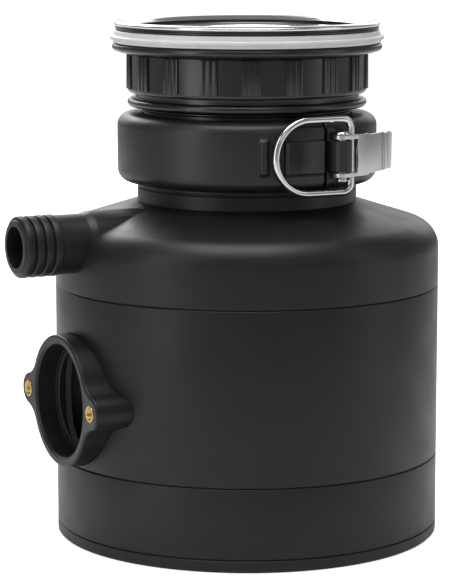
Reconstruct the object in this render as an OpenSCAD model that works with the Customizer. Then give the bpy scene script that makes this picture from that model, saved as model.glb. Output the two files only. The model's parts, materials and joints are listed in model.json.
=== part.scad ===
// Kitchen garbage disposal hung from a sink flange by a threaded nut and a latched clamp.
// +Z is up, the origin is on the body's axis at its underside, and both ports point along -X.
// All sizes are in millimetres.

/* [Casing] */
// Outer radius of the casing shells
casing_r = 83; // [82:0.5:100]
// Wall of the casing shells
shell_wall = 2.6; // [2:0.1:3.2]
// Height of the base cap's rim
base_h = 5.3; // [4.6:0.1:6.5]
// Thickness of the base cap's floor
base_floor = 2.5; // [2:0.1:2.6]
// Height of the lower shell
lower_h = 30; // [27:0.1:30.2]
// Height of the middle shell
middle_h = 73.7; // [73.5:0.1:90]
// Straight height of the upper shell below its shoulder
upper_straight = 16; // [14:0.5:20]
// Radius of the upper shell's shoulder
shoulder_r = 12; // [10:0.5:14]
// Slope of the dome above the shoulder, in degrees
dome_slope = 17.5; // [15:0.5:19]

/* [Neck and clamp] */
// Outer radius of the trim ring around the neck
neck_ring_r = 47.3; // [46.5:0.1:49]
// Height of neck that shows below the clamp
neck_show = 8.5; // [7:0.5:12]
// Outer radius of the clamp collar
clamp_r = 55.8; // [55:0.1:58]
// Height of the clamp collar
clamp_h = 29; // [27:0.5:33]
// Rounding of the clamp collar's edges
clamp_round = 9; // [6:0.5:9.5]
// Inner radius of the clamp's lips
clamp_lip_r = 45.4; // [45.2:0.1:46]
// Radius of the flanges that the clamp holds together
joint_flange_r = 50; // [48.5:0.1:51]
// Furthest that the latch lever swings, in degrees
latch_swing = 130; // [90:5:135]

/* [Sink mount] */
// Outer radius of the sink flange
sink_flange_r = 57; // [54:0.5:60]
// Inner radius of the throat through the sink flange
throat_r = 41.9; // [40:0.1:42.2]
// Outer radius of the threaded sleeve
sleeve_r = 44.8; // [44:0.1:45]
// Outer radius of the mounting nut
nut_r = 52.1; // [50:0.1:54]
// Height of the mounting nut with its bead
nut_h = 22.9; // [20:0.1:26]
// Distance that the nut moves down the sleeve
nut_travel = 2; // [1:0.1:2.4]

/* [Ports] */
// Radius of the discharge opening
outlet_r = 24; // [20:0.5:24]
// Depth of the discharge opening
outlet_depth = 9.5; // [7:0.5:9.5]
// Distance of the discharge face from the casing's surface
outlet_reach = 7; // [6.5:0.5:12]
// Spacing of the discharge flange's two threaded inserts
insert_spacing = 63.5; // [60:0.5:66]
// Bore radius of the dishwasher inlet
barb_bore_r = 8.8; // [7:0.1:9]
// Radius over the barbs of the dishwasher inlet
barb_r = 13; // [12.5:0.1:14]
// Distance of the barb's mouth from the casing's surface
barb_reach = 26; // [24:0.5:34]

/* [Grinder] */
// Inner radius of the grind chamber
chamber_r = 65; // [62:0.5:65]
// Wall of the grind chamber
chamber_wall = 3; // [2.5:0.1:3]
// Number of slots in the grind ring
grind_slots = 24; // [12:2:36]
// Radius of the turntable
turntable_r = 61; // [58:0.5:61]
// Distance of the impeller pins from the axis
impeller_pin_at = 40; // [38:0.5:41]
// Length of an impeller from its pin to its tip
impeller_reach = 18.5; // [14:0.5:18.5]

/* [Motor] */
// Outer radius of the motor can
motor_r = 42; // [40:0.5:43]
// Length of the motor can
motor_len = 70; // [66:0.5:71]
// Radius of the motor shaft
shaft_r = 5; // [4.5:0.1:5.5]
// Radius of the armature
armature_r = 30; // [26:0.5:31]
// Travel of the reset button
reset_travel = 2.5; // [1.5:0.1:2.8]

/* [Hidden] */
$fn = 96;

// Clearances
gap = 0.3;          // between pieces that move past each other
run = 0.05;         // radial clearance of a pin or shaft that turns in its hole
slip = 0.15;        // radial clearance of a spigot in its socket
cut = 1;            // how far a cutting shape passes the surface it cuts

// Levels of the casing, from the underside up
lower_top_z = base_h + lower_h;
middle_top_z = lower_top_z + middle_h;
shoulder_z = middle_top_z + upper_straight;
shoulder_end_r = casing_r - shoulder_r * (1 - sin(dome_slope));
shoulder_end_z = shoulder_z + shoulder_r * cos(dome_slope);
dome_top_z = shoulder_end_z + (shoulder_end_r - neck_ring_r) * tan(dome_slope);
shell_in_r = casing_r - shell_wall;
seam_bevel = 0.5;

// Levels of the clamped joint
clamp_z = dome_top_z + neck_show;
clamp_top_z = clamp_z + clamp_h;
groove_z = clamp_z + 3.7;
cushion_h = 2.2;
joint_flange_h = 4;
neck_flange_z = groove_z + gap + cushion_h;
guard_z = neck_flange_z + joint_flange_h;
sleeve_z = guard_z + joint_flange_h;
sleeve_flange_top = sleeve_z + joint_flange_h;
groove_top_z = sleeve_flange_top + gap;
neck_r = 44;
neck_in_r = 41;
clamp_groove_r = joint_flange_r + 0.5;
clamp_mid_z = clamp_z + clamp_h / 2;

// Levels of the sink mount
nut_z = clamp_top_z + 3;
nut_top_z = nut_z + nut_h;
bead_h = 3.5;
grip_count = 18;
grip_w = 6;
grip_at = -25.8;
pressure_z = nut_top_z + gap;
pressure_h = 4.1;
pressure_r = sink_flange_r + 0.9;
gasket_z = pressure_z + pressure_h;
gasket_h = 5.2;
flange_gasket_z = gasket_z + gasket_h + gap;
flange_gasket_h = 1.6;
flange_z = flange_gasket_z + flange_gasket_h;
flange_h = 2.1;
flange_sheet = 1;
sleeve_wall = sleeve_r - throat_r - flange_sheet;
nut_bore_r = sleeve_r + 1.5;
thread_pitch = 3;
thread_h = 0.9;
sleeve_top_z = flange_z - 3.4;

// The split of the clamp, its hinge and its latch, as angles from -Y towards +X
split_at = 8;
split_half = 0.7;
hinge_at = split_at + 180;
hinge_pin_r = 2;
knuckle_r = 4.3;
hinge_rho = clamp_r + knuckle_r + 0.4;
latch_at = 13;
latch_rho = clamp_r + 4.2;
latch_pin_r = 1.6;
barrel_r = 4.2;
lever_h = 17.5;
lever_sheet = 1.5;
cheek_h = 1.8;
wire_r = 1.5;
bar_at = 18.5;
bar_rho = clamp_r + 3.7;
bail_h = 30.6;
bail_corner = 4;
bail_len = 35.3;
hook_at = -3.2;
hook_half = 9.1;
hook_h = 13.5;
hook_rho = clamp_r + 2.4;
rib_at = -20.8;
rib_w = 3.4;
knuckle_end = 6.5;
knuckle_web = 3.4;
knuckle_z = clamp_z + 3.5;
knuckle_top_z = clamp_top_z - 3.5;
barrel_h = 12.9;
lever_root_at = 23;
lever_tip_at = 45;
lever_rho = clamp_r + 5.5;

// Levels of the wet end, down from the seam under the upper shell
table_z = middle_top_z - 11;
table_h = 2.5;
chamber_z = middle_top_z - 13;
chamber_flange_h = 3.5;
chamber_flange_r = chamber_r + 11;
wet_gasket_h = 2;
drain_flange_h = 3;
drain_flange_z = chamber_z - wet_gasket_h - drain_flange_h;
drain_in_r = chamber_r - 1;
drain_wall = 2.5;
drain_floor_z = drain_flange_z - 4;
drain_floor_top = drain_floor_z + drain_wall;
well_r = shell_in_r - 0.4;
well_half = outlet_r + 2.5;
well_in_x = motor_r + 3.5;
outlet_z = drain_floor_z - 23;
well_z = outlet_z - outlet_r - 2;
duct_r = outlet_r - 2.5;
outlet_x = casing_r + outlet_reach;
outlet_ring_r = outlet_r + 4;
outlet_ear_r = 6.8;
outlet_hollow_r = 12;
insert_r = 3.5;
insert_bore_r = 2.5;
insert_len = 9;
chamber_screw_at = chamber_r + 7;
screw_r = 2;

// The dishwasher inlet
barb_z = shoulder_z + 5.5;
barb_x = casing_r + barb_reach;
barb_tube_r = barb_r - 0.5;
barb_valley_r = barb_r - 1.4;
barb_pitch = 4.2;
barb_count = 4;
spigot_r = barb_bore_r + 2.2;
spigot_x = chamber_r + 9;

// Levels of the motor, down from the drain floor
motor_plate_h = 3.5;
motor_plate_z = drain_floor_z - motor_plate_h;
motor_z = motor_plate_z - motor_len;
motor_floor_h = 3;
motor_floor_z = motor_z - motor_floor_h;
pad_h = 2.5;
pad_z = motor_floor_z - pad_h;
can_wall = 2;
can_in_r = motor_r - can_wall;
motor_flange_r = motor_r + 13;
motor_screw_at = motor_r + 8;
bearing_r = 13;
bearing_h = 8;
bearing_hub_r = 16;
ball_r = 2;
ball_at = 8.9;
ball_count = 8;
race_out_r = ball_at + 1.3;
race_in_r = ball_at - 1.3;
upper_bearing_z = motor_plate_z - bearing_h + 0.5;
lower_bearing_z = motor_z + 0.5;
shaft_top_z = table_z + table_h + 8.5;
commutator_r = 12;
commutator_z = lower_bearing_z + bearing_h + 2.5;
commutator_h = 12;
core_h = 30;
core_z = commutator_z + commutator_h + 3.5;
winding_rod_r = 2.6;
winding_at = armature_r - 7;
armature_slots = 12;
magnet_r = armature_r + 0.8;
brush_at = commutator_r + gap;
brush_len = 12;
brush_w = 6;
holder_in = commutator_r + 4;
holder_out = can_in_r - 4;

// The base
base_screw_at = casing_r - 8.5;
base_post_r = 5;
post_h = 16;
reset_at = 62;
reset_angle = 45;
reset_r = 4;
reset_stem_r = 2.5;
overload_z = base_floor + 6;
board_z = base_floor + 9.5;
gland_z = base_h + lower_h / 2;
gland_r = 9;
gland_bore_r = 4.1;
gland_seat = 14;

// Points along an arc about c, from angle a0 to a1
function arc(c, r, a0, a1, n = 6) =
    [for (i = [0:n]) [c[0] + r * cos(a0 + (a1 - a0) * i / n), c[1] + r * sin(a0 + (a1 - a0) * i / n)]];

// Places a shape that is drawn at -Y at an angle from -Y towards +X
module around(angle) { rotate([0, 0, angle]) children(); }

// Turns a shape's +Z to -X, the side of the ports
module to_port() { rotate([0, -90, 0]) children(); }

module tube(r_out, r_in, h) {
    difference() {
        cylinder(r = r_out, h = h);
        translate([0, 0, -cut]) cylinder(r = r_in, h = h + 2 * cut);
    }
}

// ---- Sink mount ----

module sink_flange() {
    color("silver") rotate_extrude() polygon([
        [sleeve_r + 0.7, flange_z], [sink_flange_r - 0.6, flange_z], [sink_flange_r, flange_z + 0.6],
        [sink_flange_r, flange_z + 1.2], [sink_flange_r - 0.6, flange_z + flange_h - 0.3],
        [sink_flange_r - 2, flange_z + flange_h], [sleeve_r + 2, flange_z + flange_h - 0.8],
        [throat_r + 1.2, sleeve_top_z + 2.6], [throat_r, sleeve_top_z + 0.6], [throat_r, sleeve_flange_top],
        [throat_r + flange_sheet, sleeve_flange_top], [throat_r + flange_sheet, sleeve_top_z]
    ]);
}

module threaded_sleeve() {
    inner_r = throat_r + flange_sheet;
    color("dimgray") rotate_extrude() union() {
        polygon([
            [throat_r, sleeve_z], [joint_flange_r, sleeve_z], [joint_flange_r, sleeve_flange_top],
            [sleeve_r, sleeve_flange_top], [sleeve_r, sleeve_top_z], [inner_r, sleeve_top_z],
            [inner_r, sleeve_flange_top], [throat_r, sleeve_flange_top]
        ]);
        for (z = [clamp_top_z + 2 : thread_pitch : sleeve_top_z - 2])
            polygon([
                [sleeve_r - 0.5, z - thread_h], [sleeve_r, z - thread_h],
                [sleeve_r + thread_h, z], [sleeve_r, z + thread_h], [sleeve_r - 0.5, z + thread_h]
            ]);
    }
}

module flange_gasket() {
    color("black") translate([0, 0, flange_gasket_z]) tube(sink_flange_r - 0.5, sleeve_r + 0.9, flange_gasket_h);
}

module sink_gasket() {
    wide_r = sink_flange_r + 1.7;
    color("whitesmoke") rotate_extrude() polygon([
        [nut_bore_r, gasket_z], [sink_flange_r + 0.4, gasket_z], [wide_r, gasket_z + 1.4],
        [wide_r, gasket_z + 2.4], [sink_flange_r - 0.2, gasket_z + 3.2],
        [sink_flange_r - 0.6, gasket_z + gasket_h], [nut_bore_r, gasket_z + gasket_h]
    ]);
}

module pressure_ring() {
    round_r = 1.4;
    color("dimgray") rotate_extrude() polygon(concat(
        [[nut_bore_r, pressure_z]],
        arc([pressure_r - round_r, pressure_z + round_r], round_r, -90, 0, 4),
        arc([pressure_r - round_r, pressure_z + pressure_h - round_r], round_r, 0, 90, 4),
        [[nut_bore_r, pressure_z + pressure_h]]
    ));
}

module mounting_nut() {
    groove_r = sleeve_r + 3.2;
    body_z = nut_z + bead_h + 2.3;
    color("dimgray") union() {
        rotate_extrude() polygon(concat(
            [[nut_bore_r, nut_z]],
            arc([nut_r - 0.8 - bead_h / 2, nut_z + bead_h / 2], bead_h / 2, -90, 90, 6),
            [[groove_r, nut_z + bead_h], [groove_r, body_z]],
            arc([nut_r - 3, body_z + 2.4], 2.4, -90, 0, 4),
            [[nut_r - 0.6, nut_top_z], [nut_bore_r, nut_top_z]]
        ));
        for (i = [0 : grip_count - 1]) around(grip_at + i * 360 / grip_count)
            translate([-grip_w / 2, -nut_r, body_z + 2]) cube([grip_w, 3, nut_top_z - body_z - 3]);
    }
}

module splash_guard() {
    hole_r = 11;
    slits = 8;
    color("black") difference() {
        rotate_extrude() polygon([
            [neck_in_r, guard_z], [joint_flange_r, guard_z], [joint_flange_r, sleeve_z],
            [neck_in_r - 1, sleeve_z], [neck_in_r - 3, sleeve_z - 2], [neck_in_r - 6, guard_z - 5],
            [hole_r, guard_z - 8], [hole_r, guard_z - 10], [neck_in_r - 5, guard_z - 7.5],
            [neck_in_r - 1.5, guard_z - 3]
        ]);
        for (i = [0 : slits - 1])
            rotate([0, 0, i * 360 / slits])
                translate([0, -0.4, guard_z - 15]) cube([neck_in_r - 7, 0.8, 20]);
    }
}

module mount_cushion() {
    color("black") translate([0, 0, groove_z + gap]) tube(joint_flange_r, neck_r, cushion_h);
}

// ---- Clamp and latch ----

module clamp_section() {
    corner = clamp_r - clamp_round;
    polygon(concat(
        [[clamp_lip_r, clamp_z]],
        arc([corner, clamp_z + clamp_round], clamp_round, -90, 0, 8),
        arc([corner, clamp_top_z - clamp_round], clamp_round, 0, 90, 8),
        [[clamp_lip_r, clamp_top_z], [clamp_lip_r, groove_top_z], [clamp_groove_r, groove_top_z],
         [clamp_groove_r, groove_z], [clamp_lip_r, groove_z]]
    ));
}

// Half of the collar, from the split's front edge if side is 1, or its rear edge if side is -1
module clamp_half(side) {
    start = side > 0 ? split_at : hinge_at;
    rotate([0, 0, start - 90 + split_half])
        rotate_extrude(angle = 180 - 2 * split_half) clamp_section();
}

// A length of hinge knuckle with its web, on the side of the split that side names
module knuckle(z, h, side) {
    around(hinge_at) union() {
        translate([0, -hinge_rho, z]) cylinder(r = knuckle_r, h = h);
        translate([side > 0 ? -knuckle_web - 0.9 : 0.9, -hinge_rho, z]) cube([knuckle_web, hinge_rho - clamp_groove_r - 1.5, h]);
    }
}

module knuckle_bore(r) {
    around(hinge_at) translate([0, -hinge_rho, clamp_z - cut]) cylinder(r = r, h = clamp_h + 2 * cut);
}

module clamp_body() {
    barrel_z = clamp_mid_z - barrel_h / 2;
    color("dimgray") difference() {
        union() {
            clamp_half(1);
            knuckle(knuckle_z, knuckle_end, 1);
            knuckle(knuckle_top_z - knuckle_end, knuckle_end, 1);
            around(latch_at) translate([0, -latch_rho, barrel_z]) cylinder(r = barrel_r, h = barrel_h);
            around(latch_at) translate([-barrel_r, -latch_rho, barrel_z]) cube([2 * barrel_r, 8, barrel_h]);
        }
        knuckle_bore(hinge_pin_r);
        around(latch_at) translate([0, -latch_rho, clamp_z]) cylinder(r = latch_pin_r, h = clamp_h);
    }
}

module clamp_arm() {
    color("dimgray") difference() {
        union() {
            clamp_half(-1);
            knuckle(knuckle_z + knuckle_end + gap, knuckle_top_z - knuckle_z - 2 * (knuckle_end + gap), -1);
            around(hook_at) translate([0, -hook_rho, clamp_mid_z - hook_h / 2]) linear_extrude(hook_h)
                polygon([
                    [-hook_half, 0.8], [-hook_half + 0.8, 0], [hook_half - 1, 0], [hook_half, 1],
                    [hook_half, 5], [-hook_half, 5]
                ]);
            around(rib_at) translate([-rib_w / 2, -clamp_r - 1.6, clamp_mid_z - hook_h / 2])
                cube([rib_w, 4, hook_h]);
        }
        knuckle_bore(hinge_pin_r + run);
    }
}

module clamp_hinge_pin() {
    color("silver") around(hinge_at) translate([0, -hinge_rho, knuckle_z - 1.5]) union() {
        cylinder(r = hinge_pin_r, h = knuckle_top_z - knuckle_z + 3);
        cylinder(r = hinge_pin_r + 1.3, h = 1.5);
        translate([0, 0, knuckle_top_z - knuckle_z + 1.5]) cylinder(r = hinge_pin_r + 1.3, h = 1.5);
    }
}

// A point in plan at a distance from the axis, at an angle from -Y towards +X
function spot(angle, rho) = [rho * sin(angle), -rho * cos(angle)];

// The lever's outline seen from above: the eye on the latch pin, the eye on the bail's bar, and its root
module lever_cheek() {
    linear_extrude(cheek_h) union() {
        translate(spot(latch_at, latch_rho)) circle(r = 3.7);
        translate(spot(bar_at, bar_rho)) circle(r = 2.7);
        polygon([
            spot(latch_at, latch_rho - 2.4), spot(bar_at, bar_rho - 2), spot(lever_root_at + 1, lever_rho + 0.4),
            spot(lever_root_at + 1, lever_rho + lever_sheet - 0.3), spot(bar_at, bar_rho + 2),
            spot(latch_at, latch_rho + 2.6)
        ]);
    }
}

module latch_lever() {
    lever_z = clamp_mid_z - lever_h / 2;
    inset = 0.3;
    color("lightgray") difference() {
        union() {
            translate([0, 0, lever_z]) lever_cheek();
            translate([0, 0, lever_z + lever_h - cheek_h]) lever_cheek();
            rotate([0, 0, lever_root_at - 90]) rotate_extrude(angle = lever_tip_at - lever_root_at)
                translate([lever_rho, lever_z + inset]) square([lever_sheet, lever_h - 2 * inset]);
            around(lever_tip_at) translate([0, -lever_rho - 1.1, lever_z + 2 * inset])
                cylinder(r = 1.8, h = lever_h - 4 * inset);
        }
        around(latch_at) translate([0, -latch_rho, lever_z - cut])
            cylinder(r = latch_pin_r + run, h = lever_h + 2 * cut);
        around(bar_at) translate([0, -bar_rho, lever_z - cut]) cylinder(r = wire_r + run, h = lever_h + 2 * cut);
    }
}

module latch_pin() {
    head_h = 1.6;
    half = lever_h / 2 + 0.2;
    color("silver") around(latch_at) translate([0, -latch_rho, clamp_mid_z]) union() {
        translate([0, 0, -half]) cylinder(r = latch_pin_r, h = 2 * half);
        translate([0, 0, half]) cylinder(r1 = 3.2, r2 = 2.2, h = head_h);
        translate([0, 0, -half - head_h]) cylinder(r1 = 1.8, r2 = 2.6, h = head_h);
    }
}

// The ring lies flat in an upright plane: its straight bar turns in the lever, its round end passes the hook
module bail_ring() {
    half = bail_h / 2;
    straight = bail_len - half - bail_corner;
    color("silver") around(bar_at) translate([0, -bar_rho, clamp_mid_z]) rotate([0, 0, -bar_at]) union() {
        translate([0, 0, bail_corner - half]) cylinder(r = wire_r, h = bail_h - 2 * bail_corner);
        for (side = [1, -1]) {
            flip = side > 0 ? 0 : 180;
            rotate([flip, 0, 0]) translate([-bail_corner, 0, half - bail_corner]) rotate([90, 0, 0])
                rotate_extrude(angle = 90) translate([bail_corner, 0]) circle(r = wire_r);
            translate([-bail_corner - straight, 0, side * half]) rotate([0, 90, 0])
                cylinder(r = wire_r, h = straight);
        }
        translate([-bail_corner - straight, 0, 0]) rotate([90, 0, 0]) rotate([0, 0, 90])
            rotate_extrude(angle = 180) translate([half, 0]) circle(r = wire_r);
    }
}

// ---- Casing ----

module neck_ring() {
    color("dimgray") difference() {
        translate([0, 0, dome_top_z]) tube(neck_ring_r, neck_r, neck_show - gap);
        translate([0, 0, dome_top_z + 6]) tube(neck_ring_r + cut, neck_ring_r - 0.5, 0.5);
    }
}

// The grind chamber's outside, which the upper shell keeps clear of
function chamber_outline(grow) = [
    [chamber_r + chamber_wall + grow, chamber_z],
    [chamber_r + chamber_wall + grow, barb_z + 0.5],
    [chamber_r - 0.5 + grow, barb_z + 4.5 + grow],
    [neck_r + 3 + grow, dome_top_z - 4.5 + grow],
    [neck_r + grow, dome_top_z - 2.5 + grow]
];

module upper_shell() {
    in_end_r = shoulder_end_r - shell_wall * sin(dome_slope);
    in_end_z = shoulder_end_z - shell_wall * cos(dome_slope);
    shoulder_c = [casing_r - shoulder_r, shoulder_z];
    color("dimgray") difference() {
        union() {
            rotate_extrude() polygon(concat(
                [[shell_in_r, middle_top_z], [casing_r - seam_bevel, middle_top_z],
                 [casing_r, middle_top_z + seam_bevel]],
                arc(shoulder_c, shoulder_r, 0, 90 - dome_slope, 8),
                [[neck_ring_r, dome_top_z], [neck_r + slip, dome_top_z],
                 [neck_r + slip, in_end_z + (in_end_r - neck_r - slip) * tan(dome_slope)]],
                arc(shoulder_c, shoulder_r - shell_wall, 90 - dome_slope, 0, 8)
            ));
            translate([0, 0, barb_z]) to_port() rotate_extrude() polygon(concat(
                [[0, neck_r + 6], [barb_tube_r, neck_r + 6], [barb_tube_r, barb_x - barb_count * barb_pitch]],
                [for (i = [barb_count : -1 : 1]) each [
                    [barb_r, barb_x - i * barb_pitch], [barb_valley_r, barb_x - (i - 1) * barb_pitch - 0.6],
                    [barb_valley_r, barb_x - (i - 1) * barb_pitch]
                ]],
                [[0, barb_x]]
            ));
        }
        translate([0, 0, barb_z]) to_port() cylinder(r = barb_bore_r, h = barb_x + cut);
        translate([0, 0, barb_z]) to_port() cylinder(r = spigot_r + slip, h = spigot_x);
        rotate_extrude() polygon(concat([[0, chamber_z]], chamber_outline(gap), [[0, dome_top_z]]));
    }
}

// A quarter of the discharge flange's outline: the ring, a hollow fillet and half of the ear
function outlet_quarter(grow) = let (
    ring = outlet_ring_r + grow, ear = outlet_ear_r + grow, hollow = outlet_hollow_r - grow,
    ear_at = insert_spacing / 2,
    to_ring = acos((pow(ring + hollow, 2) + pow(ear_at, 2) - pow(ear + hollow, 2)) / (2 * (ring + hollow) * ear_at)),
    centre = (ring + hollow) * [sin(to_ring), cos(to_ring)],
    to_ear = atan2(centre[0], centre[1] - ear_at)
) concat(
    arc([0, 0], ring, 0, 90 - to_ring, 8),
    arc(centre, hollow, 270 - to_ring, 270 - to_ear, 6),
    arc([0, ear_at], ear, 90 - to_ear, 90, 6)
);

module outlet_outline(grow) {
    quarter = outlet_quarter(grow);
    half = concat(quarter, [for (i = [len(quarter) - 2 : -1 : 0]) [-quarter[i][0], quarter[i][1]]]);
    polygon(concat(half, [for (i = [1 : len(half) - 2]) -half[i]]));
}

module middle_shell() {
    color("dimgray") difference() {
        rotate_extrude() polygon([
            [shell_in_r, lower_top_z], [casing_r - seam_bevel, lower_top_z],
            [casing_r, lower_top_z + seam_bevel], [casing_r, middle_top_z - seam_bevel],
            [casing_r - seam_bevel, middle_top_z], [shell_in_r, middle_top_z]
        ]);
        translate([-casing_r / 2, 0, outlet_z]) to_port() linear_extrude(casing_r) outlet_outline(gap);
    }
}

module lower_shell() {
    color("dimgray") difference() {
        union() {
            rotate_extrude() polygon([
                [shell_in_r, base_h], [casing_r - seam_bevel, base_h], [casing_r, base_h + seam_bevel],
                [casing_r, lower_top_z - seam_bevel], [casing_r - seam_bevel, lower_top_z],
                [shell_in_r, lower_top_z]
            ]);
            for (i = [0 : 3]) rotate([0, 0, 45 + 90 * i]) translate([base_screw_at, 0, base_h]) {
                cylinder(r = base_post_r, h = post_h);
                translate([0, -1.5, 0]) cube([shell_in_r - base_screw_at + 0.5, 3, post_h]);
            }
        }
        for (i = [0 : 3]) rotate([0, 0, 45 + 90 * i]) translate([base_screw_at, 0, base_h - cut])
            cylinder(r = screw_r, h = post_h - 2 + cut);
        translate([-gland_seat / 2, shell_in_r - 6, gland_z - gland_seat / 2]) cube([gland_seat, 12, gland_seat]);
    }
}

module base_cap() {
    boss_h = base_h - base_floor;
    color("dimgray") difference() {
        union() {
            rotate_extrude() polygon([
                [0, 0], [casing_r - 1, 0], [casing_r, 1], [casing_r, base_h - seam_bevel],
                [casing_r - seam_bevel, base_h], [shell_in_r, base_h], [shell_in_r, base_floor], [0, base_floor]
            ]);
            translate([0, 0, base_floor]) tube(pad_out_r - 1, pad_in_r + 1, pad_z - base_floor);
            for (i = [0 : 3]) rotate([0, 0, 45 + 90 * i]) translate([base_screw_at, 0, base_floor])
                cylinder(r = base_post_r, h = boss_h);
            for (x = [board_x + 3, board_x + board_w - 3], y = [board_l / 2 - 3, 3 - board_l / 2])
                translate([x, y, base_floor]) cylinder(r = 2.2, h = board_z - base_floor);
        }
        for (i = [0 : 3]) rotate([0, 0, 45 + 90 * i]) translate([base_screw_at, 0, 0]) {
            translate([0, 0, -cut]) cylinder(r = screw_r + slip, h = base_h + 2 * cut);
            translate([0, 0, -cut]) cylinder(r = screw_r + 2.2, h = cut + 3);
        }
        rotate([0, 0, reset_angle + 45]) translate([reset_at, 0, -cut]) cylinder(r = reset_r + gap, h = base_h);
    }
}
pad_out_r = motor_r - 2;
pad_in_r = motor_r - 10;
board_x = motor_r + 6;
board_w = 24;
board_l = 32;

module discharge_outlet() {
    color("dimgray") difference() {
        translate([-well_r + 14, 0, outlet_z]) to_port() linear_extrude(outlet_x - well_r + 14) outlet_outline(0);
        translate([0, 0, outlet_z - 2 * outlet_ring_r]) cylinder(r = well_r, h = 4 * outlet_ring_r);
        translate([-outlet_x + outlet_depth, 0, outlet_z]) to_port() cylinder(r = outlet_r, h = outlet_depth + cut);
        translate([-well_r / 2, 0, outlet_z]) to_port() cylinder(r = duct_r, h = well_r);
        for (side = [1, -1]) translate([-outlet_x + insert_len, side * insert_spacing / 2, outlet_z])
            to_port() cylinder(r = insert_r, h = insert_len + cut);
    }
}

module outlet_inserts() {
    color("gold") for (side = [1, -1])
        translate([-outlet_x + insert_len, side * insert_spacing / 2, outlet_z]) to_port()
            tube(insert_r, insert_bore_r, insert_len + 0.4);
}

// ---- Grinder ----

module grind_chamber() {
    outer_r = chamber_r + chamber_wall;
    color("slategray") difference() {
        union() {
            rotate_extrude() polygon(concat(
                [[chamber_r - 2, chamber_z], [chamber_flange_r, chamber_z],
                 [chamber_flange_r, chamber_z + chamber_flange_h], [outer_r, chamber_z + chamber_flange_h]],
                [for (i = [1 : 4]) chamber_outline(0)[i]],
                [[neck_r, neck_flange_z], [joint_flange_r, neck_flange_z], [joint_flange_r, guard_z],
                 [neck_in_r, guard_z], [neck_in_r, dome_top_z - 3.5], [neck_r + 1, dome_top_z - 7.5],
                 [chamber_r - 3, barb_z + 2], [chamber_r, barb_z - 1], [chamber_r, table_z - 1],
                 [chamber_r - 2, table_z - 1]]
            ));
            difference() {
                translate([0, 0, barb_z]) to_port() cylinder(r = spigot_r, h = spigot_x - gap);
                rotate_extrude() polygon([
                    [0, chamber_z], [chamber_r, chamber_z], [chamber_r, barb_z - 1],
                    [chamber_r - 3, barb_z + 2], [neck_r + 1, dome_top_z - 7.5],
                    [neck_in_r, dome_top_z - 3.5], [0, dome_top_z]
                ]);
            }
        }
        translate([0, 0, barb_z]) to_port() cylinder(r = barb_bore_r + 0.4, h = spigot_x + cut);
        for (i = [0 : 5]) rotate([0, 0, 30 + 60 * i]) translate([chamber_screw_at, 0, chamber_z - cut])
            cylinder(r = screw_r + slip, h = chamber_flange_h + 2 * cut);
    }
}

module grind_ring() {
    color("silver") difference() {
        translate([0, 0, table_z - 1]) tube(chamber_r, turntable_r + 1, 12);
        for (i = [0 : grind_slots - 1]) rotate([0, 0, i * 360 / grind_slots])
            translate([turntable_r, -1.5, table_z - 2]) cube([2.4, 3, 9]);
    }
}

module turntable() {
    hub_r = 12;
    holes = 12;
    color("silver") difference() {
        union() {
            translate([0, 0, table_z]) cylinder(r = turntable_r, h = table_h);
            translate([0, 0, table_z - 2.5]) cylinder(r = hub_r, h = 2.5);
        }
        translate([0, 0, table_z - 2.5 - cut]) cylinder(r = shaft_r, h = table_h + 2.5 + 2 * cut);
        for (i = [0 : holes - 1]) rotate([0, 0, (i + 0.5) * 360 / holes])
            translate([turntable_r - 6, 0, table_z - cut]) cylinder(r = 2, h = table_h + 2 * cut);
    }
}

// A swivelling lug whose pin stands at the angle given, with its tip outwards
module impeller(angle) {
    z = table_z + table_h + gap;
    tip_r = 3.5;
    color("silver") rotate([0, 0, angle]) translate([impeller_pin_at, 0, z]) difference() {
        union() {
            linear_extrude(4.5) hull() {
                circle(r = 6, $fn = 32);
                translate([impeller_reach - tip_r, 0]) circle(r = tip_r, $fn = 32);
            }
            translate([impeller_reach - 9, -2, 4.5]) cube([7, 4, 7]);
        }
        translate([0, 0, -cut]) cylinder(r = impeller_pin_r + run, h = 4.5 + 2 * cut);
    }
}
impeller_pin_r = 3;

module impeller_1() { impeller(20); }

module impeller_2() { impeller(200); }

module impeller_pins() {
    color("silver") for (angle = [20, 200])
        rotate([0, 0, angle]) translate([impeller_pin_at, 0, table_z + table_h]) union() {
            cylinder(r = impeller_pin_r, h = 5.1);
            translate([0, 0, 5.1]) cylinder(r1 = 4.6, r2 = 3.4, h = 1.4);
        }
}

module turntable_nut() {
    color("silver") translate([0, 0, table_z + table_h]) difference() {
        union() {
            cylinder(r = 12, h = 1.5);
            translate([0, 0, 1.5]) cylinder(r = 9.5, h = 6, $fn = 6);
        }
        translate([0, 0, -cut]) cylinder(r = shaft_r, h = 10);
    }
}

module shaft_seal() {
    color("black") translate([0, 0, drain_floor_top]) tube(seal_r, shaft_r + run, 4.5);
}
seal_r = 9;

module well_box(shrink, z, top) {
    intersection() {
        translate([-well_r - cut, shrink - well_half, z])
            cube([well_r + cut - well_in_x - shrink, 2 * (well_half - shrink), top - z]);
        translate([0, 0, z]) cylinder(r = well_r - shrink, h = top - z);
    }
}

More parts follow.
